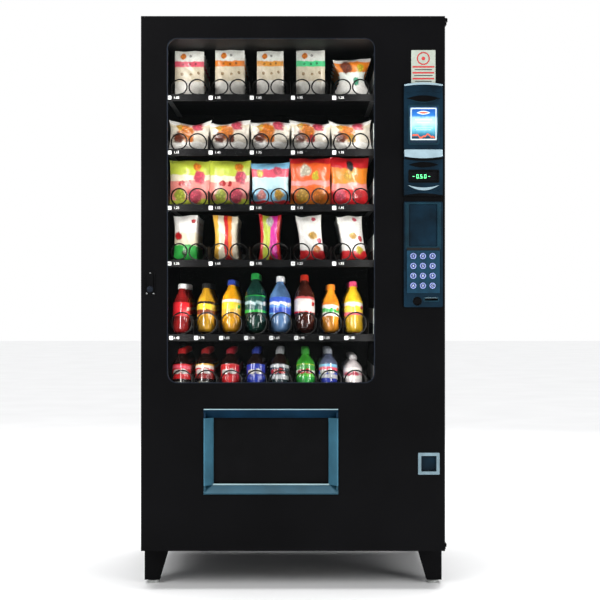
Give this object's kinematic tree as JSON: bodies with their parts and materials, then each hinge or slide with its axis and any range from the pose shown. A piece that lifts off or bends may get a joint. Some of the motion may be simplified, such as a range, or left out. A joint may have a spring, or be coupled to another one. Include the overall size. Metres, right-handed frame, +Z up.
{
  "type": "snack vending machine",
  "caption": "Glass-front snack and drink vending machine: hinged full-height door with control column and delivery flap, product trays with wire spirals, cooling unit below.",
  "frame": {"origin": "on the floor, at the middle of the footprint", "axes": "+X to the right seen from the front, +Z up, the front faces -Y"},
  "size_m": [0.999, 0.9445, 1.866],
  "materials": {
    "black_paint": "semi-gloss powder coat",
    "dark_sheet": "satin",
    "foam": "rigid foam",
    "zinc_plate": "zinc plated",
    "galvanised": "galvanised sheet",
    "coated_wire": "dark coated wire",
    "rail_black": "extruded",
    "motor_white": "moulded",
    "fin_metal": "pressed fins",
    "iron_black": "painted",
    "rubber": "extruded seal",
    "glass": "clear",
    "trim": "satin",
    "slate_alu": "satin anodised slate blue",
    "teal_plastic": "moulded, dark blue-grey",
    "screen": "smoked window",
    "card": "lit picture card",
    "plate_blue": "moulded",
    "key_cap": "pale blue caps",
    "unit_grey": "moulded",
    "black_plastic": "moulded",
    "cup_metal": "satin chrome",
    "tube_white": "lit diffuser",
    "wrap": "printed wrap"
  },
  "bodies": {
    "cabinet": {"cabinet_shell": "black_paint", "insulation": "foam", "cabinet_liner": "dark_sheet", "legs": "black_paint", "levelling_feet": "zinc_plate", "top_hinge": "black_paint", "bottom_hinge": "black_paint", "tray_rails": "galvanised", "snack_trays": "dark_sheet", "drink_trays": "dark_sheet", "price_rails": "rail_black", "vend_motors": "motor_white", "snack_spirals": "coated_wire", "drink_spirals": "coated_wire", "air_duct": "dark_sheet", "evaporator": "fin_metal", "compressor": "iron_black", "condenser": "fin_metal", "cooling_deck": "galvanised", "rear_grille": "black_paint", "delivery_bin": "dark_sheet", "latch_strike": "zinc_plate", "light_strips": "tube_white", "control_box": "galvanised"},
    "door": {"door_skin": "black_paint", "door_liner": "dark_sheet", "door_gasket": "rubber", "window_glass": "glass", "window_trim": "trim", "delivery_frame": "slate_alu", "control_column": "teal_plastic", "display_window": "screen", "picture_card": "card", "keypad_plate": "plate_blue", "bill_validator": "unit_grey", "coin_changer": "unit_grey", "coin_cup": "cup_metal", "lock_plate": "black_plastic"},
    "handle": {"lock_handle": "black_plastic", "latch_cam": "zinc_plate"},
    "delivery_flap": {"delivery_flap": "black_plastic"},
    "coin_flap": {"coin_flap": "teal_plastic"},
    "coin_return": {"coin_return_button": "black_plastic"},
    "evaporator_fan": {"evaporator_fan": "motor_white"},
    "condenser_fan": {"condenser_fan": "motor_white"},
    "spiral_left": {"spiral_left": "coated_wire"},
    "spiral_right": {"spiral_right": "coated_wire"},
    "snack_packs": {"snack_packs": "wrap"},
    "key_star": {"key_star": "key_cap"},
    "key_0": {"key_0": "key_cap"},
    "key_hash": {"key_hash": "key_cap"},
    "key_7": {"key_7": "key_cap"},
    "key_8": {"key_8": "key_cap"},
    "key_9": {"key_9": "key_cap"},
    "key_4": {"key_4": "key_cap"},
    "key_5": {"key_5": "key_cap"},
    "key_6": {"key_6": "key_cap"},
    "key_1": {"key_1": "key_cap"},
    "key_2": {"key_2": "key_cap"},
    "key_3": {"key_3": "key_cap"}
  },
  "joints": [
    {"name": "door_swing", "type": "hinge", "parent": "cabinet", "child": "door", "pos_m": [0.496, -0.344, 1], "axis": [0, 0, 1], "range_deg": [0, 110]},
    {"name": "handle_turn", "type": "hinge", "parent": "door", "child": "handle", "pos_m": [-0.46, -0.46, 0.97], "axis": [0, 1, 0], "range_deg": [0, 90]},
    {"name": "delivery_flap_swing", "type": "hinge", "parent": "door", "child": "delivery_flap", "pos_m": [-0.071, -0.424, 0.564], "axis": [1, 0, 0], "range_deg": [0, 70]},
    {"name": "coin_flap_swing", "type": "hinge", "parent": "door", "child": "coin_flap", "pos_m": [0.4375, -0.446, 0.429], "axis": [1, 0, 0], "range_deg": [0, 55]},
    {"name": "coin_return_push", "type": "slide", "parent": "door", "child": "coin_return", "axis": [0, 1, 0], "range_m": [0, 0.004], "stiffness_N_per_m": 400},
    {"name": "evaporator_fan_spin", "type": "hinge", "parent": "cabinet", "child": "evaporator_fan", "pos_m": [-0.225, 0.024, 0.492], "axis": [0, 1, 0], "continuous": true},
    {"name": "condenser_fan_spin", "type": "hinge", "parent": "cabinet", "child": "condenser_fan", "pos_m": [-0.28, -0.214, 0.22], "axis": [0, 1, 0], "continuous": true},
    {"name": "spiral_left_turn", "type": "hinge", "parent": "cabinet", "child": "spiral_left", "pos_m": [-0.112, 0, 1.659], "axis": [0, -1, 0], "range_deg": [0, 360]},
    {"name": "spiral_right_turn", "type": "hinge", "parent": "cabinet", "child": "spiral_right", "pos_m": [-0.048, 0, 1.659], "axis": [0, 1, 0], "range_deg": [0, 360]},
    {"name": "snack_advance", "type": "slide", "parent": "cabinet", "child": "snack_packs", "axis": [0, -1, 0], "range_m": [0, 0.0892]},
    {"name": "key_star_push", "type": "slide", "parent": "door", "child": "key_star", "axis": [0, 1, 0], "range_m": [0, 0.002], "stiffness_N_per_m": 400},
    {"name": "key_0_push", "type": "slide", "parent": "door", "child": "key_0", "axis": [0, 1, 0], "range_m": [0, 0.002], "stiffness_N_per_m": 400},
    {"name": "key_hash_push", "type": "slide", "parent": "door", "child": "key_hash", "axis": [0, 1, 0], "range_m": [0, 0.002], "stiffness_N_per_m": 400},
    {"name": "key_7_push", "type": "slide", "parent": "door", "child": "key_7", "axis": [0, 1, 0], "range_m": [0, 0.002], "stiffness_N_per_m": 400},
    {"name": "key_8_push", "type": "slide", "parent": "door", "child": "key_8", "axis": [0, 1, 0], "range_m": [0, 0.002], "stiffness_N_per_m": 400},
    {"name": "key_9_push", "type": "slide", "parent": "door", "child": "key_9", "axis": [0, 1, 0], "range_m": [0, 0.002], "stiffness_N_per_m": 400},
    {"name": "key_4_push", "type": "slide", "parent": "door", "child": "key_4", "axis": [0, 1, 0], "range_m": [0, 0.002], "stiffness_N_per_m": 400},
    {"name": "key_5_push", "type": "slide", "parent": "door", "child": "key_5", "axis": [0, 1, 0], "range_m": [0, 0.002], "stiffness_N_per_m": 400},
    {"name": "key_6_push", "type": "slide", "parent": "door", "child": "key_6", "axis": [0, 1, 0], "range_m": [0, 0.002], "stiffness_N_per_m": 400},
    {"name": "key_1_push", "type": "slide", "parent": "door", "child": "key_1", "axis": [0, 1, 0], "range_m": [0, 0.002], "stiffness_N_per_m": 400},
    {"name": "key_2_push", "type": "slide", "parent": "door", "child": "key_2", "axis": [0, 1, 0], "range_m": [0, 0.002], "stiffness_N_per_m": 400},
    {"name": "key_3_push", "type": "slide", "parent": "door", "child": "key_3", "axis": [0, 1, 0], "range_m": [0, 0.002], "stiffness_N_per_m": 400}
  ],
  "couplings": [
    {"joint": "spiral_right_turn", "follows": "spiral_left_turn", "ratio": 1},
    {"joint": "snack_advance", "follows": "spiral_left_turn", "m_per_rad": 0.014112}
  ]
}
